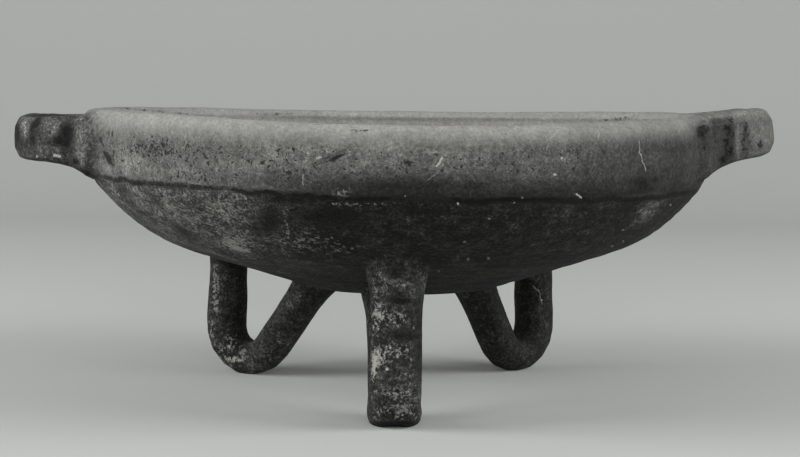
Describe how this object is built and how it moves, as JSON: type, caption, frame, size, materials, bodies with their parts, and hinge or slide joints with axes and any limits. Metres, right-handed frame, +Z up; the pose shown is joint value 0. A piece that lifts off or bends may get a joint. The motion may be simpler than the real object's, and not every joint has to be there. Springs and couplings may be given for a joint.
{
  "type": "tripod bowl",
  "caption": "Shallow round-bottomed fired-clay bowl with an upright wall, looped clay feet to stand on and a looped side handle to lift it by at each end.",
  "frame": {"origin": "on the ground, under the middle of the whole vessel's box", "axes": "+X through the handles, towards the one that tilts up, +Y away from the single front foot, +Z up"},
  "size_m": [0.3688, 0.31, 0.1443],
  "materials": {
    "fired_clay": "dull grey-black hand-smoothed clay, mottled, pitted and worn, with pale crust in patches"
  },
  "bodies": {
    "root": {"tripod_bowl": "fired_clay"}
  },
  "joints": []
}
